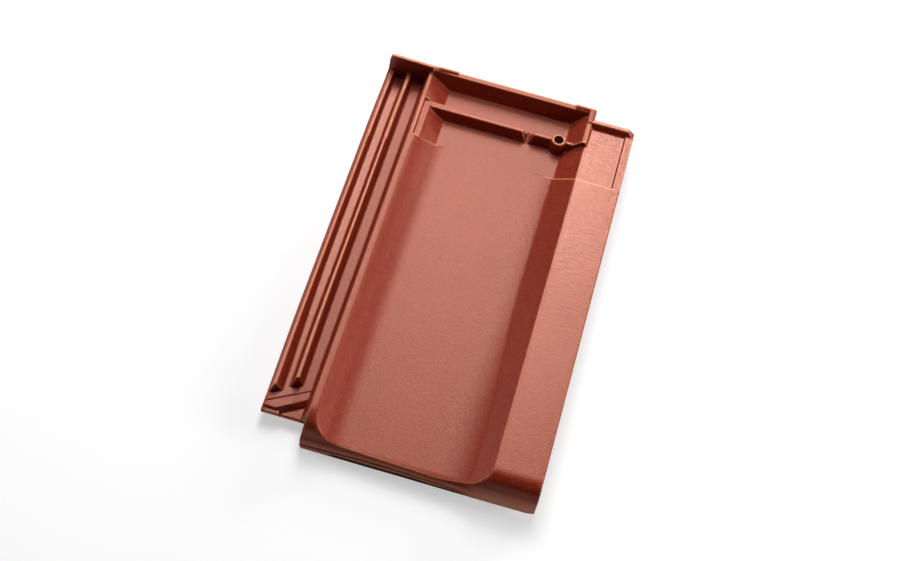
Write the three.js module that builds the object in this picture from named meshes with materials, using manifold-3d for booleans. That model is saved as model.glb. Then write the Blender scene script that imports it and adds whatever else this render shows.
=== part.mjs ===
// Interlocking pressed-clay roof tile: one piece of fired clay.
// Millimetres. X runs across the tile (water channels at low X, cover roll at high X),
// Y runs from the foot edge (0) to the head, Z is up out of the weather face.
// Drawn from the foot-left corner, moved to the centre of its footprint at the end.
import * as THREE from 'three';
import { mergeVertices } from 'three/addons/utils/BufferGeometryUtils.js';
import Module from 'manifold-3d';

const wasm = await Module();
wasm.setup();

// ---------------------------------------------------------------- driving sizes
const tileWidth = 290;
const tileLength = 471;
const clayThickness = 11;
const lugDrop = 11;
const pressDraft = 15;
const footEdgeLevel = 4.4;

// heights of the weather face over or under its neighbours
const troughDepth = 20;
const rollRise = 2;
const channelDrop = 3;

// roundings the press leaves
const edgeRound = 1.4;
const ribRound = 0.8;
const baseRound = 2.4;
const shoulderRound = 3.2;
const creaseRound = 5;

// side lock, from the outer face inwards
const sideSole = 9;
const outerFaceFoot = 2.8;
const outerRibX = 7.5;
const outerRibTop = 2;
const outerRibHeight = 11.5;
const outerRibFlare = 3.2;
const innerRibX = 27.2;
const innerRibTop = 2.6;
const innerRibHeight = 14.5;
const innerRibSpread = 0.9;
const sideFootSetback = 23.6;
const sideFootCorner = 3;
const footBow = 1.3;
const footBowY = 145;
const headBow = 0.8;
const headBowReach = 79;
const ribLapDrop = 2.2;
const ribLapReach = 101.6;
const ribLapRun = 1.2;

// foot of the side lock: rib ends, drip bar, low pad
const ribEndAngle = 23.5;
const outerRibEndY = 41.3;
const innerRibEndY = 45;
const outerRibEndLean = 4.2;
const innerRibEndLean = 2.9;
const dripAngle = 29.9;
const dripY = 31.9;
const dripDrop = 0.8;
const barWidthRight = 8.2;
const barKneeX = 15;
const barKneeY = 29;
const barFaceLeft = 0.7;
const barFaceRight = 8.6;
const barFaceKnee = [5, 2.7];
const padLevel = 12;
const padFront = 2.2;
const ledgePadLevel = 15.5;
const ledgePadX = 18.6;
const lipLevel = 11;

// ledge and trough
const ledgeX = 50.8;
const ledgeWidth = 7.1;
const wallHandleRun = 7.5;
const wallHandleDrop = 5;
const wallFloorHandle = 11;
const troughFloorLeft = 97.4;
const troughFloorInset = 105.6;
const floorHandle = 14;
const creaseHandle = 8;
const creaseHandleShare = 0.45;
const creaseInset = 74.6;
const creaseRise = 3.4;
const creaseFootShift = 8;
const creaseFootRise = 4.8;
const creaseFootY = 60;
const creaseHeadY = 230;
const rollWidth = 50.1;

// cover roll underneath
const rollSkin = 11;
const flangeWidth = 10.5;
const flangeReach = 23;
const flangeLean = 1.2;
const coverRibInset = 34.6;
const coverRibTop = 5;
const coverRibReach = 12;

// foot nose: knee, two handles and back of its round shoulder, as [y, drop under the crest]
const noseLeft = [[6.5, 17.5], [8, 10], [14, 1.5], [30, 0]];
const noseRight = [[3, 18], [3.6, 9], [7.5, 0], [22, 0]];
const noseTurnX = 84;
const noseSideLean = 3;
const noseSideRun = 14;
const noseCornerRound = 1.9;
const footWall = 12;
const footWave = 1;
const footWaveLength = 118;
const footWaveX = 150;

// lap zone at the head, where the next tile up lies
const lapReach = 94;
const lapDrop = 2.8;
const lapFloorLeft = 81.3;
const lapWallHandles = [[3.6, 5.4], [7, 3.2]];
const lapFloorInset = 73.1;
const lapStep = 1.2;
const lapBow = [3.5, 7.5, 8.3, 7, 6];
const padWidth = 6.2;
const padDrop = 5;
const padDraft = 14;
const ledgeStrip = 3.9;
const borderStrip = 8.6;
const borderDrop = 1;

// head lock
const headFloorRise = 5;
const headFloorLeft = 76.9;
const headFloorInset = 71.3;
const rimRise = 26;
const rimWidth = 5.8;
const leftRimX = 5.5;
const leftRimWidth = 3.3;
const leftRimHip = [[3.2, 28], [3.9, 44]];
const leftRimRise = 3.2;
const leftRimFall = 2.2;
const leftRimEndX = 60.2;
const leftRimDraft = 6;
const raisedRise = 2.4;
const raisedWidth = 2.4;
const raisedLeft = [54.4, 60.2, 61.4, 83.4];
const raisedInset = 71.1;
const raisedSetback = 2;
const headWallInset = 53.8;
const headWallTop = 4.6;
const headWallLean = 2.4;
const cheekRise = 2.6;
const weirFromHead = 46.4;
const weirHeight = 14.5;
const weirTop = 3.2;
const weirLeftX = 56.9;
const weirEndSpread = 3.5;
const weirEndRun = [14, 52];
const weirEndFall = 3.4;
const notchInset = 113.4;
const notchFloor = 2.4;
const notchMouth = 15.4;
const notchRampEnd = 5.2;
const nailInset = 79.2;
const nailTopDiameter = 15;
const nailFootDiameter = 22;
const nailHoleDiameter = 11;
const nailHoleTaper = 1.6;
const nailBossRise = 1.2;
const rollEndSetback = 13;
const rollRibWidth = 4.6;
const rollRibRise = 4;
const rollRibRun = 4.2;
const rollRibEndInset = 6.6;

// underside
const lugWidth = 30;
const lugThickness = 14;
const lugTaper = 2;
const lugLeftX = 96;
const lugRightInset = 102;
const lugFromHead = 16;
const footRibWidth = 9;
const footRibSetback = 16;
const footRibLeftX = 84;
const footRibInset = 90;
const ledgeGrooveWidth = 8;
const ledgeGrooveTop = 22;
const ledgeGrooveReach = 36;
const underWallRun = 22;

// standing sizes of the drawing
const overlap = 2;
const spill = 6;
const sunk = 0.1;
const arcPieces = 14;
const softPieces = 4;
const roundPieces = 40;
const bendStations = 8;
const softShare = 0.48;

const slopeOf = (degrees) => Math.tan(THREE.MathUtils.degToRad(degrees));
const draft = slopeOf(pressDraft);
const ramp = (value, from, to) => THREE.MathUtils.smoothstep(value, from, to);
const evenly = (from, to, pieces) => Array.from(
  { length: pieces + 1 }, (_, i) => from + ((to - from) * i) / pieces,
);

// ---------------------------------------------------------------- solid helpers
function toSolid(geometry) {
  const clean = geometry.index ? geometry.toNonIndexed() : geometry;
  clean.deleteAttribute('normal');
  clean.deleteAttribute('uv');
  const merged = mergeVertices(clean, 1e-4);
  return new wasm.Manifold(new wasm.Mesh({
    numProp: 3,
    vertProperties: new Float32Array(merged.attributes.position.array),
    triVerts: new Uint32Array(merged.index.array),
  }));
}

// skin through rings of equal point count; each ring is a list of [x, y, z]
function loft(rings) {
  const count = rings[0].length;
  const positions = [];
  const push = (p) => positions.push(p[0], p[1], p[2]);
  for (let k = 0; k + 1 < rings.length; k += 1) {
    for (let i = 0; i < count; i += 1) {
      const j = (i + 1) % count;
      const a = rings[k][i];
      const b = rings[k][j];
      const c = rings[k + 1][j];
      const d = rings[k + 1][i];
      [a, b, c, a, c, d].forEach(push);
    }
  }
  const cap = (ring, flat, turn) => {
    THREE.ShapeUtils.triangulateShape(flat, []).forEach((face) => {
      const [a, b, c] = face.map((i) => flat[i]);
      const spin = (b.x - a.x) * (c.y - a.y) - (b.y - a.y) * (c.x - a.x);
      const order = spin * turn > 0 ? face : [face[0], face[2], face[1]];
      order.forEach((i) => push(ring[i]));
    });
  };
  const flatOf = (ring) => {
    const same = (axis) => ring.every((p) => Math.abs(p[axis] - ring[0][axis]) < 1e-9);
    if (same(1)) return ring.map((p) => new THREE.Vector2(p[0], p[2]));
    if (same(0)) return ring.map((p) => new THREE.Vector2(p[1], p[2]));
    return ring.map((p) => new THREE.Vector2(p[0], p[1]));
  };
  const first = flatOf(rings[0]);
  const turn = Math.sign(THREE.ShapeUtils.area(first));
  const last = rings[rings.length - 1];
  cap(rings[0], first, -turn);
  cap(last, flatOf(last), turn);
  const geometry = new THREE.BufferGeometry();
  geometry.setAttribute('position', new THREE.Float32BufferAttribute(positions, 3));
  return toSolid(geometry);
}

const area = (points) => points.reduce((sum, p, i) => {
  const q = points[(i + 1) % points.length];
  return sum + (p[0] * q[1] - q[0] * p[1]) / 2;
}, 0);

const anticlockwise = (points) => (area(points) < 0 ? points.slice().reverse() : points);

// outline whose corners [a, b, radius] become arcs; a corner without radius stays sharp
function softened(points) {
  const count = points.length;
  const out = [];
  points.forEach((point, i) => {
    const corner = new THREE.Vector2(point[0], point[1]);
    const radius = point[2] ?? 0;
    if (radius === 0) {
      out.push([corner.x, corner.y]);
      return;
    }
    const before = points[(i + count - 1) % count];
    const after = points[(i + 1) % count];
    const back = new THREE.Vector2(before[0], before[1]).sub(corner);
    const ahead = new THREE.Vector2(after[0], after[1]).sub(corner);
    const half = Math.abs(back.angleTo(ahead)) / 2;
    const room = Math.min(back.length(), ahead.length()) * softShare;
    const reach = Math.min(radius / Math.tan(half), room);
    const from = corner.clone().addScaledVector(back.normalize(), reach);
    const to = corner.clone().addScaledVector(ahead.normalize(), reach);
    new THREE.QuadraticBezierCurve(from, corner, to).getPoints(softPieces)
      .forEach((p) => out.push([p.x, p.y]));
  });
  return out;
}

// closed ring across the tile at station y, from an outline in X-Z
const ringAcross = (outline, y) => anticlockwise(outline).slice().reverse()
  .map(([x, z]) => [x, y, z]);

// closed ring along the tile at station x, from an outline in Y-Z
const ringAlong = (outline, x) => anticlockwise(outline).map(([y, z]) => [x, y, z]);

const alongY = (outline, y0, y1) => loft([ringAcross(outline, y0), ringAcross(outline, y1)]);

const alongX = (outline, x0, x1) => loft([ringAlong(outline, x0), ringAlong(outline, x1)]);

// plan outline standing between two levels, the upper one may differ (drafted sides)
function upright(outline, z0, z1, upper = outline) {
  const flip = area(outline) < 0;
  const low = flip ? outline.slice().reverse() : outline;
  const high = flip ? upper.slice().reverse() : upper;
  return loft([low.map(([x, y]) => [x, y, z0]), high.map(([x, y]) => [x, y, z1])]);
}

const rectangle = (x0, x1, y0, y1) => [[x0, y0], [x1, y0], [x1, y1], [x0, y1]];

const roundedRectangle = (x0, x1, y0, y1, radius) => softened(
  rectangle(x0, x1, y0, y1).map(([x, y]) => [x, y, radius]),
);

function curve(a, b, c, d, pieces = arcPieces) {
  const bezier = new THREE.CubicBezierCurve(
    new THREE.Vector2(...a), new THREE.Vector2(...b),
    new THREE.Vector2(...c), new THREE.Vector2(...d),
  );
  return bezier.getPoints(pieces).map((p) => [p.x, p.y]);
}

const cone = (radiusLow, radiusHigh, x, y, z0, z1) => {
  const geometry = new THREE.CylinderGeometry(radiusHigh, radiusLow, z1 - z0, roundPieces);
  geometry.rotateX(Math.PI / 2);
  geometry.translate(x, y, (z0 + z1) / 2);
  return toSolid(geometry);
};

const together = (parts) => parts.reduce((all, part) => all.add(part));

// ---------------------------------------------------------------- levels and lines
const troughLevel = lugDrop + clayThickness;
const ledgeLevel = troughLevel + troughDepth;
const rollLevel = ledgeLevel + rollRise;
const channelLevel = troughLevel - channelDrop;
const sideUnder = channelLevel - sideSole;
const sideBrow = sideUnder + outerFaceFoot;
const troughUnder = troughLevel - clayThickness;
const ledgeEnd = ledgeX + ledgeWidth;
const lapPanel = rollLevel - lapDrop;
const rimLevel = troughLevel + rimRise;
const raisedLevel = rimLevel + raisedRise;
const headFloor = troughLevel + headFloorRise;
const flangeBottom = rollLevel - flangeReach;
const rollUnder = rollLevel - rollSkin;
const skyLevel = rimLevel + spill * 2;
const ledgeFootX = ledgeX - draft * (ledgeLevel - channelLevel);
const weirLevel = troughLevel + weirHeight;
const padX = ledgeX + ledgeStrip + padDrop * slopeOf(padDraft);
const landing = ledgeLevel - padDrop;

// places measured in from the roll's outer edge
const fromRollEdge = (inset) => tileWidth - inset;
const rollX = fromRollEdge(rollWidth);
const troughFloorRight = fromRollEdge(troughFloorInset);
const creaseX = fromRollEdge(creaseInset);
const coverRibX = fromRollEdge(coverRibInset);
const lapFloorRight = fromRollEdge(lapFloorInset);
const headFloorRight = fromRollEdge(headFloorInset);
const raisedRightX = fromRollEdge(raisedInset);
const headWallX = fromRollEdge(headWallInset);
const notchX = fromRollEdge(notchInset);
const nailX = fromRollEdge(nailInset);
const rollRibEndX = fromRollEdge(rollRibEndInset);
const lugX = [lugLeftX, fromRollEdge(lugRightInset)];
const footRibSpan = [footRibLeftX, fromRollEdge(footRibInset)];

// places measured down from the head edge
const fromHead = (reach) => tileLength - reach;
const lapY = fromHead(lapReach);
const weirY = fromHead(weirFromHead);
const rollEndY = fromHead(rollEndSetback);
const headBowY = fromHead(headBowReach);
const ribLapY = fromHead(ribLapReach);

// weather line of the main section at station y: ledge, trough, roll
function weatherLine(y) {
  const footward = 1 - ramp(y, creaseFootY, creaseHeadY);
  const crease = creaseX + creaseFootShift * footward;
  const lift = creaseRise + creaseFootRise * footward;
  const leftWall = curve(
    [ledgeEnd, ledgeLevel], [ledgeEnd + wallHandleRun, ledgeLevel - wallHandleDrop],
    [ledgeEnd + wallFloorHandle, troughLevel], [troughFloorLeft, troughLevel],
  ).slice(1);
  const rightFloor = curve(
    [troughFloorRight, troughLevel], [troughFloorRight + floorHandle, troughLevel],
    [crease - creaseHandle, troughLevel + lift * creaseHandleShare], [crease, troughLevel + lift],
  ).slice(0, -1);
  return [
    [ledgeX, ledgeLevel, edgeRound], [ledgeEnd, ledgeLevel, shoulderRound],
    ...leftWall, ...rightFloor, [crease, troughLevel + lift, creaseRound],
    [rollX, rollLevel, shoulderRound], [tileWidth, rollLevel, edgeRound],
  ];
}

// main section: weather line above, hollow roll below
function mainSection(y) {
  return softened([
    [ledgeX - draft * (ledgeLevel - sideUnder), sideUnder],
    ...weatherLine(y),
    [tileWidth - flangeLean, flangeBottom, edgeRound],
    [tileWidth - flangeWidth, flangeBottom, edgeRound],
    [tileWidth - flangeWidth - draft * (rollUnder - flangeBottom), rollUnder, baseRound],
    [rollX + shoulderRound, rollUnder, baseRound],
    [troughFloorRight + underWallRun, troughUnder, shoulderRound],
    [ledgeEnd + spill, troughUnder],
    [ledgeEnd - overlap, sideUnder],
  ]);
}

const sectionStations = [0, ...evenly(creaseFootY, creaseHeadY, bendStations), rollEndY];

// ---------------------------------------------------------------- plate with roll
const mainPlate = () => loft(sectionStations.map((y) => ringAcross(mainSection(y), y)));

// the trough plate carries on past the roll's end to the head edge
const headPlate = () => alongY([
  [ledgeX - overlap, sideUnder], [ledgeX - overlap, troughLevel],
  [headFloorRight + spill, troughLevel], [headFloorRight + spill, troughUnder],
  [ledgeEnd + spill, troughUnder], [ledgeEnd - overlap, sideUnder],
], lapY, tileLength);

// ---------------------------------------------------------------- side lock
// section at station y: outer face, outer rib, channel, inner rib, channel, ledge wall
function sideSection(y) {
  const footward = 1 - ramp(y, creaseFootY, creaseHeadY);
  const bow = footBow * (1 - ramp(y, sideFootSetback, footBowY))
    + headBow * ramp(y, headBowY, tileLength);
  const cut = ribLapDrop * ramp(y, ribLapY - ribLapRun, ribLapY + ribLapRun);
  const outerTop = channelLevel + outerRibHeight - cut;
  const innerTop = channelLevel + innerRibHeight - cut;
  const outerLean = (outerRibX - outerRibTop / 2) / (channelLevel + outerRibHeight - sideBrow);
  const outerRight = bow + outerRibX + outerRibTop / 2 + draft * cut;
  const innerHalf = (innerRibTop + innerRibSpread * footward) / 2 + draft * cut;
  const inner = bow + innerRibX;
  const outerRun = draft * (outerTop - channelLevel) + outerRibFlare * footward;
  const innerRun = draft * (innerTop - channelLevel);
  return softened([
    [bow + ribRound, sideUnder], [bow, sideUnder + ribRound], [bow, sideBrow],
    [bow + outerLean * (outerTop - sideBrow), outerTop, ribRound],
    [outerRight, outerTop, ribRound],
    [outerRight + outerRun, channelLevel, baseRound],
    [inner - innerHalf - innerRun, channelLevel, baseRound],
    [inner - innerHalf, innerTop, ribRound],
    [inner + innerHalf, innerTop, ribRound],
    [inner + innerHalf + innerRun, channelLevel, baseRound],
    [ledgeFootX, channelLevel, baseRound],
    [ledgeX + overlap, ledgeLevel], [ledgeX + overlap, sideUnder],
  ]);
}

// lines across the foot of the side lock, rising to the right, in plan
const dripLine = (x) => dripY + slopeOf(dripAngle) * x;
const barLine = (x) => barKneeY + (x - barKneeX)
  * (dripLine(ledgeX) - barWidthRight - barKneeY) / (ledgeX - barKneeX);
const rightOfLock = ledgeX + overlap;

// region in front of a plan line, as an outline
const before = (line) => [...line, [rightOfLock, -spill], [-spill, -spill]];

// both ribs stop short of the foot, cut on the slant and leaning back; the cutter stands
// higher than the ribs, so its lean is stretched to match
function ribEnd(x0, x1, startY, lean) {
  const slope = slopeOf(ribEndAngle);
  const stretched = lean * (ledgeLevel - channelLevel) / innerRibHeight;
  const line = (shift) => [
    [x0, startY + slope * x0 + shift], [x1, startY + slope * x1 + shift],
    [x1, -spill], [x0, -spill],
  ];
  return upright(line(0), channelLevel, ledgeLevel, line(stretched));
}

function sideLock() {
  const stations = [
    ...evenly(sideFootSetback, creaseHeadY, bendStations),
    ribLapY - ribLapRun, ribLapY, ribLapY + ribLapRun,
    ...evenly(headBowY, tileLength, softPieces),
  ];
  const whole = loft(stations.map((y) => ringAcross(sideSection(y), y)));
  const betweenRibs = (outerRibX + innerRibX) / 2;
  let solid = whole
    .subtract(ribEnd(-spill, betweenRibs, outerRibEndY, outerRibEndLean))
    .subtract(ribEnd(betweenRibs, ledgeFootX + ribRound, innerRibEndY, innerRibEndLean));
  // drip bar: a strip a little lower than the channel floors
  const crease = [[-spill, dripLine(-spill)], [rightOfLock, dripLine(rightOfLock)]];
  solid = solid.subtract(upright(before(crease), channelLevel - dripDrop, ledgeLevel));
  // low pad in front of the bar
  const barTop = [[-spill, barKneeY + barFaceLeft], [barKneeX, barKneeY],
    [rightOfLock, barLine(rightOfLock)]];
  const barFoot = [[-spill, barKneeY],
    [barKneeX + barFaceKnee[0], barKneeY - barFaceKnee[1]],
    [rightOfLock, barLine(rightOfLock) - barFaceRight]];
  solid = solid.subtract(upright(
    before(barFoot), padLevel, channelLevel, before(barTop),
  ));
  // small ledge left standing at the outer corner
  const corner = upright([
    [-spill, -spill], [ledgePadX + padFront, -spill], [ledgePadX + padFront, sideFootSetback],
    [ledgePadX, barKneeY + overlap], [-spill, barKneeY + overlap],
  ], 0, ledgePadLevel);
  solid = solid.add(whole.intersect(corner));
  // thin lip along the foot edge of the pad
  solid = solid.subtract(upright(
    rectangle(ledgePadX + padFront, rightOfLock, -spill, sideFootSetback + padFront),
    lipLevel, ledgePadLevel,
  ));
  // outer foot corner turns with a radius
  return solid.subtract(upright([
    [-spill, sideFootSetback - spill], [footBow + sideFootCorner, sideFootSetback - spill],
    ...softened([
      [footBow + sideFootCorner, sideFootSetback], [footBow, sideFootSetback, sideFootCorner],
      [footBow, sideFootSetback + sideFootCorner * 2],
    ]).slice(0, -1),
    [-spill, sideFootSetback + sideFootCorner],
  ], -spill, ledgeLevel));
}

// ---------------------------------------------------------------- foot nose
// weather-face profile of the foot in Y-Z: drafted front face, then a full round shoulder
function nosePlane(crest, shoulder) {
  const round = shoulder.map(([y, drop]) => [y, crest - drop]);
  const back = shoulder[shoulder.length - 1][0];
  return [
    [edgeRound, -spill], [edgeRound, footEdgeLevel - edgeRound], [0, footEdgeLevel + edgeRound],
    ...curve(...round),
    [back, skyLevel], [tileLength + spill, skyLevel], [tileLength + spill, -spill],
  ];
}

// its shoulder starts from the ledge on one side and from the roll on the other
const underNose = () => loft([
  ringAlong(nosePlane(ledgeLevel, noseLeft), -spill),
  ringAlong(nosePlane(ledgeLevel, noseLeft), noseTurnX),
  ringAlong(nosePlane(rollLevel, noseRight), troughFloorRight),
  ringAlong(nosePlane(rollLevel, noseRight), tileWidth + spill),
]);

// the ledge's outer face stands steeper at the nose, its lower corner turns in to the front
function noseSide() {
  const low = (lean) => [
    [ledgeX + noseCornerRound, -spill],
    ...curve(
      [ledgeX, 0], [ledgeX - lean, noseCornerRound],
      [ledgeX - lean, noseSideRun / 2], [ledgeX - lean, noseSideRun], softPieces,
    ),
    [ledgeX - lean, sideFootSetback + edgeRound],
    [-spill, sideFootSetback + edgeRound], [-spill, -spill],
  ];
  return upright(low(noseSideLean), padLevel, ledgeLevel, low(0))
    .add(upright(low(noseSideLean), -spill, padLevel));
}

// front wall closing the hollow roll and the trough's foot
function footApron() {
  const left = ledgeX - draft * (ledgeLevel - footEdgeLevel);
  const lower = [];
  const steps = arcPieces * 2;
  for (let i = 0; i <= steps; i += 1) {
    const x = tileWidth + (left - tileWidth) * (i / steps);
    const wave = Math.cos((2 * Math.PI * (x - footWaveX)) / footWaveLength);
    lower.push([x, footEdgeLevel + footWave * wave]);
  }
  lower[0][1] += shoulderRound;
  const corners = [[left, footEdgeLevel], ...weatherLine(0), [tileWidth, footEdgeLevel]];
  return alongY([...lower, ...softened(corners).slice(1, -1)], 0, footWall);
}

// ---------------------------------------------------------------- lap zone
function lapCut() {
  const [upper, lower] = lapWallHandles;
  const wall = curve(
    [padX + padWidth, landing], [padX + padWidth + upper[0], landing - upper[1]],
    [lapFloorLeft - lower[0], troughLevel + lower[1]], [lapFloorLeft, troughLevel], softPieces,
  ).slice(0, -1);
  const outline = softened([
    [ledgeX + ledgeStrip, skyLevel], [ledgeX + ledgeStrip, ledgeLevel],
    [padX, landing, ribRound], ...wall,
    [lapFloorLeft, troughLevel, baseRound], [lapFloorRight, troughLevel, baseRound],
    [rollX, lapPanel, edgeRound],
    [tileWidth - borderStrip - borderDrop, lapPanel, ribRound],
    [tileWidth - borderStrip, rollLevel - borderDrop, ribRound],
    [tileWidth + spill, rollLevel - borderDrop],
    [tileWidth + spill, skyLevel],
  ]);
  const [start, ...bow] = lapBow.map((rise) => lapY + rise);
  const bowed = curve(
    [lapFloorLeft - spill, bow[0]], [lapFloorLeft + spill, bow[1]],
    [lapFloorRight - spill * 3, bow[2]], [lapFloorRight - spill, bow[3]],
  );
  const zone = upright([
    [ledgeX, lapY + lapStep], [ledgeEnd + padDrop, start], ...bowed,
    [rollX - spill, lapY + lapStep], [rollX, lapY],
    [tileWidth + spill, lapY], [tileWidth + spill, tileLength + spill],
    [ledgeX, tileLength + spill],
  ], 0, skyLevel);
  return alongY(outline, lapY - spill, tileLength + spill).intersect(zone);
}

// ---------------------------------------------------------------- head lock
const headWallFoot = headWallX + headWallTop + headWallLean;
const headBack = weirY + weirTop;
// line of the head channel in X-Z between ledge and roll
const headLine = () => [
  [ledgeX + ledgeStrip, ledgeLevel, ribRound],
  [headFloorLeft, headFloor, shoulderRound], [headFloorRight, headFloor, baseRound],
  [headWallX, rollLevel + cheekRise, ribRound],
];

// everything above the head channel's own surface is cleared first
const headClear = () => alongY(softened([
  ...headLine(), [rollX + overlap, rollLevel + cheekRise], [rollX + overlap, skyLevel],
  [ledgeX + ledgeStrip, skyLevel],
]), headBack, tileLength + spill);

function headLock() {
  const deep = troughUnder + overlap;
  const wallTop = headWallX + headWallTop;
  const parts = [];
  // raised floor between weir and rim, with its sloped sides
  parts.push(alongY(softened([
    [ledgeX, deep], [ledgeX, ledgeLevel, edgeRound], ...headLine(),
    [wallTop, rollLevel + cheekRise, ribRound], [headWallFoot, lapPanel - overlap],
    [headWallFoot, rollUnder], [headFloorRight - spill, deep],
  ]), headBack - overlap / 2, tileLength));
  // cheek on the roll edge, running a little further down the roll than the weir
  parts.push(alongY(softened([
    [headFloorRight - overlap * 2, troughLevel], [headFloorRight - edgeRound, troughLevel + spill / 2],
    [headWallX, rollLevel + cheekRise, ribRound],
    [wallTop, rollLevel + cheekRise, ribRound], [headWallFoot, lapPanel - overlap],
    [rollX - overlap, rollUnder + overlap],
  ]), weirY, headBack + spill));
  // main rim
  const rimFoot = (rimLevel - headFloor) * draft;
  parts.push(alongX(softened([
    [tileLength - rimWidth - rimFoot - spill, headFloor - overlap],
    [tileLength - rimWidth - rimFoot - spill, headFloor - sunk],
    [tileLength - rimWidth - rimFoot, headFloor - sunk, baseRound],
    [tileLength - rimWidth, rimLevel, ribRound],
    [tileLength, rimLevel], [tileLength, headFloor - overlap],
  ]), raisedLeft[0], headWallFoot));
  // rim over the side lock, rising a little to the outer end
  const leftFoot = slopeOf(leftRimDraft) * (rimLevel - channelLevel);
  const leftProfile = (top) => softened([
    [tileLength - leftRimWidth - leftFoot - spill, sideUnder],
    [tileLength - leftRimWidth - leftFoot - spill, channelLevel - sunk],
    [tileLength - leftRimWidth - leftFoot, channelLevel - sunk, baseRound],
    [tileLength - leftRimWidth, top, ribRound], [tileLength, top], [tileLength, sideUnder],
  ]);
  const outerEnd = alongY([
    [headBow, sideUnder], [headBow, sideBrow], ...leftRimHip, [leftRimX, rimLevel + leftRimRise],
    [leftRimX, skyLevel], [leftRimEndX, skyLevel], [leftRimEndX, sideUnder],
  ], weirY, tileLength);
  parts.push(loft([
    ringAlong(leftProfile(rimLevel + leftRimRise), 0),
    ringAlong(leftProfile(rimLevel + leftRimRise - leftRimFall), leftRimEndX),
  ]).intersect(outerEnd));
  // short raised pieces on the rim, leaning back from its front edge
  const raised = (setback, top, width) => [
    [tileLength - rimWidth + setback, rimLevel - overlap],
    [tileLength - rimWidth + setback, rimLevel], [tileLength - width, top],
    [tileLength, top], [tileLength, rimLevel - overlap],
  ];
  const leftTop = rimLevel + leftRimRise - leftRimFall;
  parts.push(alongX(raised(0, leftTop, leftRimWidth), raisedLeft[0], raisedLeft[1]));
  parts.push(loft([
    ringAlong(raised(0, leftTop, leftRimWidth), raisedLeft[1] - sunk),
    ringAlong(raised(0, raisedLevel, raisedWidth), raisedLeft[2]),
    ringAlong(raised(raisedSetback, raisedLevel, raisedWidth), raisedLeft[3]),
  ]));
  parts.push(loft([
    ringAlong(raised(raisedSetback, raisedLevel, raisedWidth), raisedRightX),
    ringAlong(raised(0, raisedLevel, raisedWidth), raisedRightX + raisedSetback),
    ringAlong(raised(0, raisedLevel, raisedWidth), headWallX + overlap),
  ]));
  // end wall of the head channel, falling to the roll's head rib
  const endWall = (top) => softened([
    [headWallX - edgeRound, rollLevel - overlap], [headWallX, top, ribRound],
    [wallTop, top, ribRound], [headWallFoot, top - headWallLean], [headWallFoot, rollLevel - overlap],
  ]);
  parts.push(loft([
    ringAcross(endWall(rollLevel + rollRibRise), rollEndY - rollRibWidth),
    ringAcross(endWall(raisedLevel), tileLength - raisedWidth),
    ringAcross(endWall(raisedLevel), tileLength),
  ]));
  // rib closing the roll's head end
  const ribTop = rollLevel + rollRibRise;
  const rollRib = alongX(softened([
    [rollEndY - rollRibWidth - rollRibRun - spill, lapPanel - overlap],
    [rollEndY - rollRibWidth - rollRibRun - spill, lapPanel - sunk],
    [rollEndY - rollRibWidth - rollRibRun, lapPanel - sunk, shoulderRound],
    [rollEndY - rollRibWidth, ribTop, ribRound],
    [rollEndY, ribTop], [rollEndY, lapPanel - overlap],
  ]), headWallX + edgeRound, tileWidth - ribRound);
  const ribEndCut = alongY([
    [rollRibEndX, skyLevel], [rollRibEndX, ribTop], [tileWidth - overlap, rollLevel - borderDrop],
    [tileWidth, rollLevel - borderDrop], [tileWidth + spill, rollLevel - borderDrop],
    [tileWidth + spill, skyLevel],
  ], lapY, tileLength);
  parts.push(rollRib.subtract(ribEndCut));
  return together(parts);
}

// cross rib that dams the head channel, with its nail boss
function weir() {
  const foot = weirHeight * draft;
  const rib = alongX(softened([
    [weirY - foot - spill, troughLevel - overlap], [weirY - foot - spill, troughLevel - sunk],
    [weirY - foot, troughLevel - sunk, baseRound],
    [weirY, weirLevel, ribRound], [headBack, weirLevel, ribRound],
    [headBack + draft * (weirLevel - headFloor), headFloor - sunk, baseRound],
    [headBack + foot + spill, headFloor - sunk],
    [headBack + foot + spill, troughLevel - overlap],
  ]), weirLeftX, rollX - spill * 2);
  const bossY = weirY + weirTop / 2;
  const bossTop = weirLevel + nailBossRise;
  const bossRadius = nailTopDiameter / 2;
  const bossLean = (nailFootDiameter / 2 - bossRadius) / (bossTop - troughLevel);
  return rib.add(cone(
    nailFootDiameter / 2, bossRadius + bossLean * ribRound, nailX, bossY,
    troughLevel - overlap, bossTop - ribRound,
  )).add(cone(
    bossRadius + bossLean * ribRound, bossRadius - ribRound, nailX, bossY,
    bossTop - ribRound, bossTop,
  ));
}

// the weir's left end: its back spreads and its top climbs to the pad strip
function weirEnd() {
  const padEnd = padX + padWidth;
  const profile = (x) => {
    const top = landing - (landing - weirLevel) * ramp(x, padEnd, padEnd + weirEndFall);
    const back = headBack
      + weirEndSpread * (1 - ramp(x, padX + weirEndRun[0], padX + weirEndRun[1]));
    return ringAlong(softened([
      [weirY, weirLevel - overlap], [weirY, top, ribRound], [back, top, ribRound],
      [back + draft * (top - headFloor), headFloor - sunk, baseRound],
      [back + draft * (top - headFloor) + spill, headFloor - sunk],
      [back + draft * (top - headFloor) + spill, headFloor - overlap],
      [weirY + ribRound, headFloor - overlap],
    ]), x);
  };
  return loft([
    padX, ...evenly(padEnd, padEnd + weirEndFall, softPieces),
    ...evenly(padX + weirEndRun[0], padX + weirEndRun[1], bendStations),
  ].map(profile));
}

// room over that end, cleared out of the head channel's side
const weirEndClear = () => alongY([
  [ledgeX + ledgeStrip, skyLevel], [ledgeX + ledgeStrip, ledgeLevel], [padX, landing],
  [padX + padWidth, landing], [padX + padWidth + weirEndFall, weirLevel],
  [padX + padWidth + weirEndFall, skyLevel],
], weirY, headBack + weirEndSpread);

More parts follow.
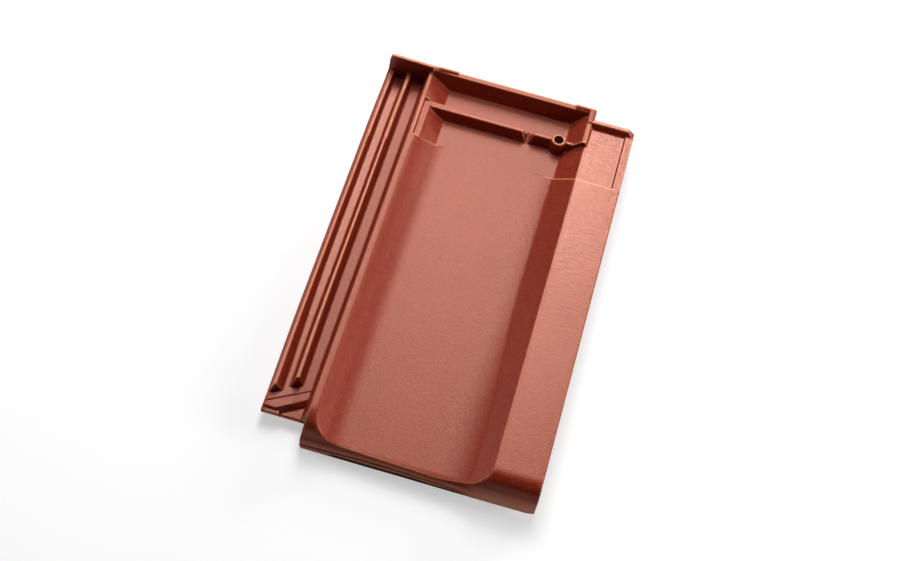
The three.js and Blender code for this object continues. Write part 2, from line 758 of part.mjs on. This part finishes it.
// drain through the weir: its floor climbs from the trough to the head channel
function drain() {
  const half = notchFloor / 2;
  const mouth = notchMouth / 2;
  const cut = (y, floor) => ringAcross(softened([
    [notchX - half, floor, ribRound], [notchX - mouth, weirLevel + overlap],
    [notchX + mouth, weirLevel + overlap], [notchX + half, floor, ribRound],
  ]), y);
  const foot = weirY - weirHeight * draft;
  return loft([
    cut(foot - baseRound, troughLevel + sunk), cut(foot, troughLevel + sunk),
    cut(headBack + notchRampEnd, headFloor + sunk),
    cut(headBack + notchRampEnd + spill, headFloor + sunk),
  ]);
}

const nailHole = () => cone(
  nailHoleDiameter / 2 - nailHoleTaper, nailHoleDiameter / 2, nailX, weirY + weirTop / 2,
  -spill, weirLevel + spill,
);

// ---------------------------------------------------------------- underside
function underside() {
  const parts = lugX.map((x) => {
    const y = fromHead(lugFromHead + lugThickness);
    return upright(
      roundedRectangle(x + lugTaper, x + lugWidth - lugTaper, y, y + lugThickness - lugTaper,
        baseRound),
      0, troughUnder + overlap, roundedRectangle(x, x + lugWidth, y, y + lugThickness, baseRound),
    );
  });
  const y = footRibSetback;
  parts.push(alongY([
    [footRibSpan[0] + overlap, 0], [footRibSpan[1] - overlap, 0],
    [footRibSpan[1] + spill, troughUnder + overlap],
    [footRibSpan[0] - spill, troughUnder + overlap],
  ], y, y + footRibWidth));
  parts.push(alongY(softened([
    [coverRibX - coverRibTop / 2, rollUnder - coverRibReach, edgeRound],
    [coverRibX + coverRibTop / 2, rollUnder - coverRibReach, edgeRound],
    [coverRibX + coverRibTop, rollUnder + overlap],
    [coverRibX - coverRibTop, rollUnder + overlap],
  ]), footWall - overlap, rollEndY));
  return together(parts);
}

// hollow under the ledge, so the wall there is no thicker than the plate
function ledgeGroove() {
  const middle = ledgeEnd - overlap;
  return alongY(softened([
    [middle - ledgeGrooveWidth, -overlap], [middle + ledgeGrooveWidth, -overlap],
    [middle + edgeRound, ledgeGrooveTop, edgeRound],
    [middle - edgeRound * 2, ledgeGrooveTop, edgeRound],
  ]), footWall, fromHead(ledgeGrooveReach));
}

// ---------------------------------------------------------------- one piece
let tile = mainPlate();
tile = tile.add(headPlate());
tile = tile.add(footApron());
tile = tile.intersect(underNose());
tile = tile.subtract(noseSide());
tile = tile.add(sideLock());
tile = tile.subtract(lapCut());
tile = tile.subtract(headClear());
tile = tile.add(headLock());
tile = tile.subtract(weirEndClear());
tile = tile.add(weir()).add(weirEnd());
tile = tile.subtract(drain());
tile = tile.subtract(ledgeGroove());
tile = tile.add(underside());
tile = tile.subtract(nailHole());
tile = tile.intersect(upright(rectangle(0, tileWidth, 0, tileLength), 0, skyLevel));

const mesh = tile.getMesh();
const geometry = new THREE.BufferGeometry();
geometry.setAttribute('position', new THREE.Float32BufferAttribute(mesh.vertProperties, 3));
geometry.setIndex(new THREE.Uint32BufferAttribute(mesh.triVerts, 1));
geometry.translate(-tileWidth / 2, -tileLength / 2, 0);
geometry.computeVertexNormals();

const clay = new THREE.MeshStandardMaterial({ color: 0xb0604c, roughness: 0.6 });
const tileBody = new THREE.Mesh(geometry, clay);
tileBody.name = 'roof_tile';

const group = new THREE.Group();
group.name = 'clay_roof_tile';
group.add(tileBody);

export default group;
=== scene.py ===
"""Studio scene of an interlocking pressed-clay roof tile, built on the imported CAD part. Metres."""
import bpy
import numpy as np
from functools import reduce
from math import radians
from mathutils import Euler, Matrix, Vector
from types import SimpleNamespace


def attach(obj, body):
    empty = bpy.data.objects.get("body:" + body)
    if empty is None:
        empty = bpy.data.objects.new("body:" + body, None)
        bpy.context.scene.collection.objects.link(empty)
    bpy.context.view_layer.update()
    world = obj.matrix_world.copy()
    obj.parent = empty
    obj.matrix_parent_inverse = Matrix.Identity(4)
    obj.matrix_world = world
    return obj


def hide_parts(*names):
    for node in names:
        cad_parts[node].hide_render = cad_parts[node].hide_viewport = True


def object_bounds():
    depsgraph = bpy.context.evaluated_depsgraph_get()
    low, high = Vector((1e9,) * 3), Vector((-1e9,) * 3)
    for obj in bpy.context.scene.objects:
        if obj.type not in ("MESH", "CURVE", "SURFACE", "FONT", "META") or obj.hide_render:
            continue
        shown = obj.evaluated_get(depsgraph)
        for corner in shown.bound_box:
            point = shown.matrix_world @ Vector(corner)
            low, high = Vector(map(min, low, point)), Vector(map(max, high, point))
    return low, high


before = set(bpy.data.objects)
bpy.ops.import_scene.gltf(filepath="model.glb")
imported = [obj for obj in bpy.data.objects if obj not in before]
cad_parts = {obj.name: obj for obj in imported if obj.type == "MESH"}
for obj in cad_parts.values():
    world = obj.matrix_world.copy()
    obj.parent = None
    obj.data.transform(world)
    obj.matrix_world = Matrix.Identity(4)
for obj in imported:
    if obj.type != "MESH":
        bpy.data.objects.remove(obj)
CAD_BOX = [list(corner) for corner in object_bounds()]

TILE_NODE = "roof_tile"


# ---------------------------------------------------------------- places on the tile
def from_left(*steps):
    """Places across the tile, measured from its left border."""
    return [CAD_BOX[0][0] + step for step in steps]


def from_foot(*steps):
    """Places along the tile, measured from its foot edge."""
    return [CAD_BOX[0][1] + step for step in steps]


# zones of the surface: a zone's mask is 0 at its first place and 1 at its second. The nose's
# second span is a height over the floor.
OUTER_FACE = from_left(0.0065, 0.0045)
SIDE_LOCK = from_left(0.033, 0.025)
ROLL = from_left(0.237, 0.245)
ROLL_BORDER = from_left(0.285, 0.287)
FOOT_END = from_foot(0.0085, 0.0020)
FRONT_FACE = from_foot(0.0055, 0.0030)
HEAD_END = from_foot(0.4005, 0.4055)
PAD_ACROSS = from_left(0.053, 0.049)
PAD_ALONG = from_foot(0.0395, 0.0355)
NOSE_ACROSS = from_left(0.215, 0.230)
NOSE_DOWN = (0.031, 0.012)

# the trough's left and right flank, and how far they run from foot to lap
FLANKS = [from_left(0.0525, 0.103), from_left(0.189, 0.236)]
FLANK_ENDS = from_foot(0.0055, 0.3635)


# ---------------------------------------------------------------- helpers
def link(obj):
    bpy.context.scene.collection.objects.link(obj)
    return obj


def vertex_rows(mesh, name):
    """One row of three numbers per vertex: its place, co, or its normal."""
    values = np.empty(len(mesh.vertices) * 3)
    mesh.vertices.foreach_get(name, values)
    return values.reshape(-1, 3)


class Nodes:
    """Short way to add shader nodes to a material and join them. Colours are linear RGB."""

    def __init__(self, material):
        material.use_nodes = True
        self.tree = material.node_tree
        self.tree.nodes.clear()

    def add(self, kind, inputs=None, **settings):
        made = self.tree.nodes.new("ShaderNode" + kind)
        for name, value in settings.items():
            setattr(made, name, value)
        for name, value in (inputs or {}).items():
            socket = made.inputs[name]
            if isinstance(value, bpy.types.NodeSocket):
                self.tree.links.new(value, socket)
            else:
                socket.default_value = (*value, 1.0) if socket.type == "RGBA" else value
        return made

    def ramp(self, factor, stops):
        """Colour that changes from stop to stop, each a factor and its colour."""
        made = self.add("ValToRGB", {"Fac": factor})
        band = made.color_ramp
        while len(band.elements) < len(stops):
            band.elements.new(0.5)
        for element, (position, colour) in zip(band.elements, stops):
            element.position = position
            element.color = (*colour, 1.0)
        return made.outputs["Color"]

    def noise(self, vector, scale, detail, roughness):
        return self.add("TexNoise", {
            "Vector": vector, "Scale": scale, "Detail": detail, "Roughness": roughness,
        }).outputs["Fac"]

    def spread(self, value, low, high, start=0.0, end=1.0):
        """Runs from start to end while the value goes from low to high, and stays there."""
        return self.add("MapRange", {
            "Value": value, "From Min": low, "From Max": high, "To Min": start, "To Max": end,
        }).outputs["Result"]

    def calculate(self, kind, *values):
        return self.add("Math", dict(enumerate(values)), operation=kind).outputs[0]

    def times(self, *values):
        return reduce(lambda total, value: self.calculate("MULTIPLY", total, value), values)

    def plus(self, *values):
        return reduce(lambda total, value: self.calculate("ADD", total, value), values)

    def less(self, mask, share):
        """One where the mask is 0, and lower by the share where it is 1."""
        return self.plus(1.0, self.times(mask, -share))

    def blend(self, amount, under, over, kind="MIX"):
        return self.add("MixRGB", {"Fac": amount, "Color1": under, "Color2": over},
                        blend_type=kind).outputs["Color"]


# ---------------------------------------------------------------- tile's mesh
# the solid is remeshed in voxels of this size, smoothed, and thinned out to the budget
VOXEL = 0.0005
SMOOTH_FACTOR = 0.5
SMOOTH_ROUNDS = 2
TRIANGLE_BUDGET = 195000

# further rounds on the flanks, where a normal's Z is above FLANK_FACING; their weight fades
# over FLANK_FADE in as many steps as FLANK_STEPS
FLANK_ROUNDS = 140
FLANK_FACING = 0.3
FLANK_FADE = 0.004
FLANK_STEPS = 5


def modify(obj, kind, **settings):
    made = obj.modifiers.new(kind.lower(), kind)
    for name, value in settings.items():
        setattr(made, name, value)


def bake_modifiers(obj):
    """Puts the modified mesh in place of the object's own."""
    bpy.context.view_layer.update()
    graph = bpy.context.evaluated_depsgraph_get()
    old = obj.data
    obj.data = bpy.data.meshes.new_from_object(obj.evaluated_get(graph))
    obj.modifiers.clear()
    bpy.data.meshes.remove(old)


def flank_group(obj):
    """Vertex group of the trough's flanks on the weather side, fading out at their borders."""
    def inside(value, low, high):
        return np.clip(np.minimum(value - low, high - value) / FLANK_FADE, 0, 1)

    x, y, _ = vertex_rows(obj.data, "co").T
    facing = vertex_rows(obj.data, "normal")[:, 2]
    weight = sum(inside(x, *flank) for flank in FLANKS) * inside(y, *FLANK_ENDS)
    steps = np.round(weight * (facing > FLANK_FACING) * FLANK_STEPS).astype(int)
    group = obj.vertex_groups.new(name="flanks")
    for step in range(1, FLANK_STEPS + 1):
        group.add(np.flatnonzero(steps == step).tolist(), step / FLANK_STEPS, "REPLACE")
    return group.name


def pressed_clay_mesh():
    """The CAD solid with its edges and inner corners softened, as wet clay leaves the press."""
    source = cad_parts[TILE_NODE]
    work = link(bpy.data.objects.new("work", source.data.copy()))
    modify(work, "REMESH", mode="VOXEL", voxel_size=VOXEL, use_smooth_shade=True)
    bake_modifiers(work)
    modify(work, "SMOOTH", factor=SMOOTH_FACTOR, iterations=SMOOTH_ROUNDS)
    modify(work, "SMOOTH", factor=SMOOTH_FACTOR, iterations=FLANK_ROUNDS,
           vertex_group=flank_group(work))
    bake_modifiers(work)
    triangles = sum(len(polygon.vertices) - 2 for polygon in work.data.polygons)
    modify(work, "DECIMATE", ratio=TRIANGLE_BUDGET / triangles)
    bake_modifiers(work)
    final = work.data
    bpy.data.objects.remove(work)
    final.name = "tile_body"
    final.shade_smooth()
    return final


# ---------------------------------------------------------------- fired clay: grain and zones
# each noise has a scale, a detail and a roughness
CLOUD = (14.0, 5.0, 0.55)
MOTTLE = (170.0, 3.0, 0.6)
SPECK = (700.0, 3.0, 0.6)
PEEL = (620.0, 3.0, 0.6)
SWELL = (230.0, 2.0, 0.5)
RIPPLE = (1.0, 4.0, 0.6)
OPENNESS_RAYS = 8


def surface_zones(n):
    """Where a point lies on the tile, and the masks that tone, relief and gloss share."""
    place = n.add("TexCoord").outputs["Object"]
    x, y, z = n.add("SeparateXYZ", {0: place}).outputs
    return SimpleNamespace(
        place=place, x=x, y=y, z=z,
        speck=n.noise(place, *SPECK),
        outer=n.spread(x, *OUTER_FACE),
        lock=n.spread(x, *SIDE_LOCK),
        roll=n.spread(x, *ROLL),
        foot=n.spread(y, *FOOT_END),
        front=n.spread(y, *FRONT_FACE),
        nose=n.times(n.spread(x, *NOSE_ACROSS), n.spread(z, *NOSE_DOWN)),
    )


def openness(n, reach, inside=False):
    """Share of short rays that meet nothing: lower in inner corners or, inside, at edges."""
    return n.add("AmbientOcclusion", {"Distance": reach}, inside=inside, only_local=True,
                 samples=OPENNESS_RAYS).outputs["AO"]


# ---------------------------------------------------------------- fired clay: tones
# noise factors and the colour at each; the last two multiply the first
CLOUD_TONES = [(0.30, (0.232, 0.0205, 0.0075)), (0.70, (0.252, 0.0235, 0.0095))]
MOTTLE_TONES = [(0.32, (0.92, 0.72, 0.66)), (0.68, (1.08, 1.28, 1.34))]
SPECK_TONES = [(0.30, (0.74, 0.40, 0.30)), (0.50, (1.0, 1.0, 1.0)), (0.72, (1.24, 1.95, 2.25))]

# painted highlight on outward edges, where the engobe is also thin: reach of the rays, and the
# openness where it starts and is full
EDGE_REACH = 0.0022
EDGE_HIGHLIGHT_SPAN = (0.97, 0.74)
EDGE_HIGHLIGHT_COLOUR = (0.72, 0.25, 0.125)

# shares of that painted edge highlight that the foot's end, the roll's border and the foot's pad
# lack
FOOT_EDGE_DIM = 0.8
BORDER_EDGE_DIM = 0.5
PAD_EDGE_DIM = 0.9

# painted light in inner corners of level faces, against the shade there, whose normal's Z lies in or
# above this span
CORNER_REACH = 0.0030
CORNER_LIGHT_SPAN = (0.93, 0.62)
CORNER_LIGHT_AMOUNT = 0.85
CORNER_LIGHT_COLOUR = (0.55, 0.16, 0.11)
LEVEL_FACING = (0.3, 0.8)

OUTER_AMOUNT = 0.45
OUTER_COLOUR = (0.55, 0.085, 0.035)


def engobe_tone(n, at):
    """Red engobe with clouds, patches and flecks."""
    colour = n.ramp(n.noise(at.place, *CLOUD), CLOUD_TONES)
    colour = n.blend(1.0, colour, n.ramp(at.speck, SPECK_TONES), "MULTIPLY")
    mottle = n.ramp(n.noise(at.place, *MOTTLE), MOTTLE_TONES)
    return n.blend(1.0, colour, mottle, "MULTIPLY")


def edge_corner_light_and_outer_tone(n, at, colour):
    """Painted highlight on outward edges, where the engobe is also thin; orange where the engobe is
    thin on the outer face; painted light in the head's inner corners.
    """
    pad = n.times(n.spread(at.x, *PAD_ACROSS), n.spread(at.y, *PAD_ALONG))
    # painted highlight along outward edges, partly also thin engobe
    edge_highlight = n.times(
        n.spread(openness(n, EDGE_REACH, inside=True), *EDGE_HIGHLIGHT_SPAN),
        n.less(at.foot, FOOT_EDGE_DIM),
        n.less(n.spread(at.x, *ROLL_BORDER), BORDER_EDGE_DIM),
        n.less(pad, PAD_EDGE_DIM),
    )
    facing = n.add("SeparateXYZ", {0: n.add("NewGeometry").outputs["Normal"]}).outputs["Z"]
    # painted light in the head's inner corners, set against the shade at the base of rim and weir
    corner = n.times(
        n.spread(facing, *LEVEL_FACING),
        n.spread(at.y, *HEAD_END),
        n.spread(openness(n, CORNER_REACH), *CORNER_LIGHT_SPAN, 0.0, CORNER_LIGHT_AMOUNT),
    )
    # blends in the painted edge highlight
    colour = n.blend(edge_highlight, colour, EDGE_HIGHLIGHT_COLOUR)
    colour = n.blend(n.times(at.outer, OUTER_AMOUNT), colour, OUTER_COLOUR)
    # blends in the painted corner light
    return n.blend(corner, colour, CORNER_LIGHT_COLOUR)


# ---------------------------------------------------------------- fired clay: foot's front face
# painted bounce light and reflection from the floor, paler from this height over the floor downwards
BOUNCE_LIGHT_DOWN = (0.021, 0.014)
BOUNCE_LIGHT_AMOUNT = 0.9
BOUNCE_LIGHT_COLOUR = (0.90, 0.31, 0.19)

# parting seam, painted as a dark line of shade: its height, the rise of its middle, half its width,
# and where it ends
SEAM_HEIGHT = 0.0100
SEAM_RISE = 0.0028
SEAM_RISE_LEFT = from_left(0.052, 0.112)
SEAM_RISE_RIGHT = from_left(0.220, 0.190)
SEAM_HALF_WIDTH = (0.0014, 0.0007)
SEAM_END = from_left(0.227, 0.205)
SEAM_SHADE_AMOUNT = 0.85
SEAM_SHADE_COLOUR = (0.04, 0.004, 0.002)

# lower edge that turns under and lies in shade
UNDER_HEIGHT = (0.0095, 0.0085)
UNDER_LEFT = from_left(0.077, 0.085)
UNDER_RIGHT = from_left(0.219, 0.211)
UNDER_AMOUNT = 0.95
UNDER_COLOUR = (0.010, 0.001, 0.001)


def foot_tone(n, at, colour):
    """Foot's front face: painted light from the floor, paler downwards, a seam painted as a dark
    line of shade, and painted shade on the lower edge.
    """
    # painted bounce light and reflection from the floor, growing downwards and on the nose
    low = n.calculate("MAXIMUM", at.nose, n.spread(at.z, *BOUNCE_LIGHT_DOWN))
    bounce_light = n.times(at.front, low, BOUNCE_LIGHT_AMOUNT)

    rise = n.times(n.spread(at.x, *SEAM_RISE_LEFT), n.spread(at.x, *SEAM_RISE_RIGHT), -SEAM_RISE)
    off_seam = n.calculate("ABSOLUTE", n.plus(at.z, rise, -SEAM_HEIGHT))
    # the parting seam painted as a dark line of shade
    seam_shade = n.times(
        at.front,
        n.spread(at.x, *SEAM_END),
        n.spread(off_seam, *SEAM_HALF_WIDTH, 0.0, SEAM_SHADE_AMOUNT),
    )
    middle = n.times(n.spread(at.x, *UNDER_LEFT), n.spread(at.x, *UNDER_RIGHT))
    # painted shade on the lower edge
    under = n.times(at.front, middle, n.spread(at.z, *UNDER_HEIGHT, 0.0, UNDER_AMOUNT))

    # blends in the painted light from the floor
    colour = n.blend(bounce_light, colour, BOUNCE_LIGHT_COLOUR)
    colour = n.blend(seam_shade, colour, SEAM_SHADE_COLOUR)
    return n.blend(under, colour, UNDER_COLOUR)


# ---------------------------------------------------------------- fired clay: relief and gloss
PEEL_HEIGHT = 0.8
SWELL_HEIGHT = 0.5
ROLL_SMOOTHED = 0.4

# cross ripples on the roll, drawn out over its width and growing from foot to head
RIPPLE_STRETCH = (90.0, 260.0, 90.0)
RIPPLE_HEIGHT = 2.0
RIPPLE_GROWTH = from_foot(0.1555, 0.3555)
RIPPLE_AT_FOOT = 0.10

RELIEF_STRENGTH = 0.6
RELIEF_DEPTH = 0.0004

# roughness of the engobe from dark to pale flecks, and how much lower it is on the side lock
# and the roll, and once more on the roll from POLISHED on
SPECK_SPAN = (0.3, 0.7)
ENGOBE_ROUGHNESS = (0.38, 0.46)
PRESSED_SMOOTHER = 0.11
POLISHED = from_foot(0.2155, 0.3855)

# how much higher it is where the clay is raw, and the share of that which the nose lacks
RAW_ROUGHER = 0.55
NOSE_COATED = 0.7

SPECULAR_LEVEL = 0.75
SPECULAR_TINT = (1.0, 0.56, 0.42)


def clay_normal(n, at):
    """Fine peel and swell of pressed clay, and the ripples that the press drags into the roll."""
    skin = n.plus(
        n.times(n.noise(at.place, *PEEL), PEEL_HEIGHT),
        n.times(n.noise(at.place, *SWELL), SWELL_HEIGHT),
    )
    stretched = n.add("Mapping", {"Vector": at.place, "Scale": RIPPLE_STRETCH}).outputs[0]
    drag = n.times(at.roll, n.spread(at.y, *RIPPLE_GROWTH, RIPPLE_AT_FOOT, 1.0))
    ripple = n.times(n.noise(stretched, *RIPPLE), drag, RIPPLE_HEIGHT)
    height = n.plus(n.times(skin, n.less(at.roll, ROLL_SMOOTHED)), ripple)
    return n.add("Bump", {
        "Strength": RELIEF_STRENGTH, "Distance": RELIEF_DEPTH, "Height": height,
    }).outputs["Normal"]


def clay_roughness(n, at):
    """Satin engobe, glossier where the press slides over it, dull where the clay is raw."""
    raw = n.plus(
        n.calculate("MAXIMUM", at.foot, at.outer),
        n.times(at.front, at.nose, -NOSE_COATED),
    )
    return n.plus(
        n.spread(at.speck, *SPECK_SPAN, *ENGOBE_ROUGHNESS),
        n.times(n.plus(at.roll, at.lock), -PRESSED_SMOOTHER),
        n.times(at.roll, n.spread(at.y, *POLISHED), -PRESSED_SMOOTHER),
        n.times(raw, RAW_ROUGHER),
    )


def clay_material():
    """Red clay under a satin engobe, with painted highlights on its edges where the engobe is also
    worn, painted light and shade on the foot's front and in the head's corners, and the grain of the
    press.
    """
    material = bpy.data.materials.new("fired_clay")
    n = Nodes(material)
    at = surface_zones(n)
    colour = foot_tone(n, at, edge_corner_light_and_outer_tone(n, at, engobe_tone(n, at)))
    shader = n.add("BsdfPrincipled", {
        "Base Color": colour, "Roughness": clay_roughness(n, at), "Normal": clay_normal(n, at),
        "Specular IOR Level": SPECULAR_LEVEL, "Specular Tint": SPECULAR_TINT,
    })
    n.add("OutputMaterial", {"Surface": shader.outputs["BSDF"]})
    return material


# ---------------------------------------------------------------- tile
tile = link(bpy.data.objects.new("tile_body", pressed_clay_mesh()))
tile.data.materials.clear()
tile.data.materials.append(clay_material())
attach(tile, "root")
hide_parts(TILE_NODE)


# ---------------------------------------------------------------- studio
WHITE = (1.0, 1.0, 1.0)
FLOOR_HALF_SIDE = 12.0
FLOOR_COLOUR = (0.56, 0.56, 0.56)
FLOOR_GLOW = 0.49
WORLD_STRENGTH = 0.01

# square softboxes, all aimed at the middle of the tile's footprint: name, place and watts
SOFTBOX_SIDE = 1.0
SOFTBOXES = [
    ("box_top", (-0.18, 0.90, 1.8), 19.0),
    ("box_key", (-0.18, 1.62, 1.8), 32.0),
    ("box_low_right", (2.97, 0.00, 0.9), 42.0),
    ("box_far_right", (3.15, 2.10, 0.7), 6.0),
    ("box_low_head", (1.35, 2.70, 0.9), 47.0),
    ("box_low_left", (-2.97, 0.45, 0.9), 18.0),
]


def floor_material():
    """Pale paper that keeps the shadow, with a glow for whatever sees it that makes it white."""
    material = bpy.data.materials.new("studio_floor")
    n = Nodes(material)
    rays = n.add("LightPath").outputs
    seen = rays["Is Camera Ray"]
    for name in ("Is Glossy Ray", "Is Transmission Ray"):
        seen = n.calculate("MAXIMUM", seen, rays[name])
    paper = n.add("BsdfDiffuse", {"Color": FLOOR_COLOUR})
    glow = n.add("Emission", {"Color": WHITE, "Strength": n.times(seen, FLOOR_GLOW)})
    both = n.add("AddShader", {0: paper.outputs[0], 1: glow.outputs[0]})
    n.add("OutputMaterial", {"Surface": both.outputs[0]})
    return material


def studio_floor():
    mesh = bpy.data.meshes.new("studio_floor")
    signs = [(-1, -1), (1, -1), (1, 1), (-1, 1)]
    corners = [(x * FLOOR_HALF_SIDE, y * FLOOR_HALF_SIDE, 0) for x, y in signs]
    mesh.from_pydata(corners, [], [(0, 1, 2, 3)])
    mesh.materials.append(floor_material())
    floor = link(bpy.data.objects.new("studio_floor", mesh))


def studio_world():
    world = bpy.data.worlds.new("studio")
    bpy.context.scene.world = world
    world.use_nodes = True
    background = world.node_tree.nodes["Background"]
    background.inputs["Color"].default_value = (*WHITE, 1.0)
    background.inputs["Strength"].default_value = WORLD_STRENGTH


def softbox(name, place, power):
    data = bpy.data.lights.new(name, "AREA")
    data.size = SOFTBOX_SIDE
    data.energy = power
    lamp = link(bpy.data.objects.new(name, data))
    lamp.location = place
    lamp.rotation_euler = (-Vector(place)).to_track_quat("-Z", "Y").to_euler()


# ---------------------------------------------------------------- camera
# the photograph's camera, fitted to the tile's edges: the point it looks at, how far off it
# stands, and its angles in degrees; sensor and lens are in millimetres
CAMERA_AIM = (-0.00144, 0.00123, 0.0)
CAMERA_DISTANCE = 1.6525
CAMERA_AZIMUTH = 6.172
CAMERA_ELEVATION = 58.893
CAMERA_ROLL = 10.509
SENSOR_WIDTH = 36.0
LENS = 61.657


def camera():
    data = bpy.data.cameras.new("camera")
    data.sensor_width = SENSOR_WIDTH
    data.lens = LENS
    cam = link(bpy.data.objects.new("camera", data))
    turn = Euler((radians(90 - CAMERA_ELEVATION), 0, radians(CAMERA_AZIMUTH)))
    roll = Matrix.Rotation(radians(CAMERA_ROLL), 4, "Z")
    back = Matrix.Translation((0, 0, CAMERA_DISTANCE))
    cam.matrix_world = Matrix.Translation(CAMERA_AIM) @ turn.to_matrix().to_4x4() @ roll @ back
    bpy.context.scene.camera = cam


studio_floor()
studio_world()
for box in SOFTBOXES:
    softbox(*box)
camera()
bpy.context.scene.view_settings.view_transform = "Standard"
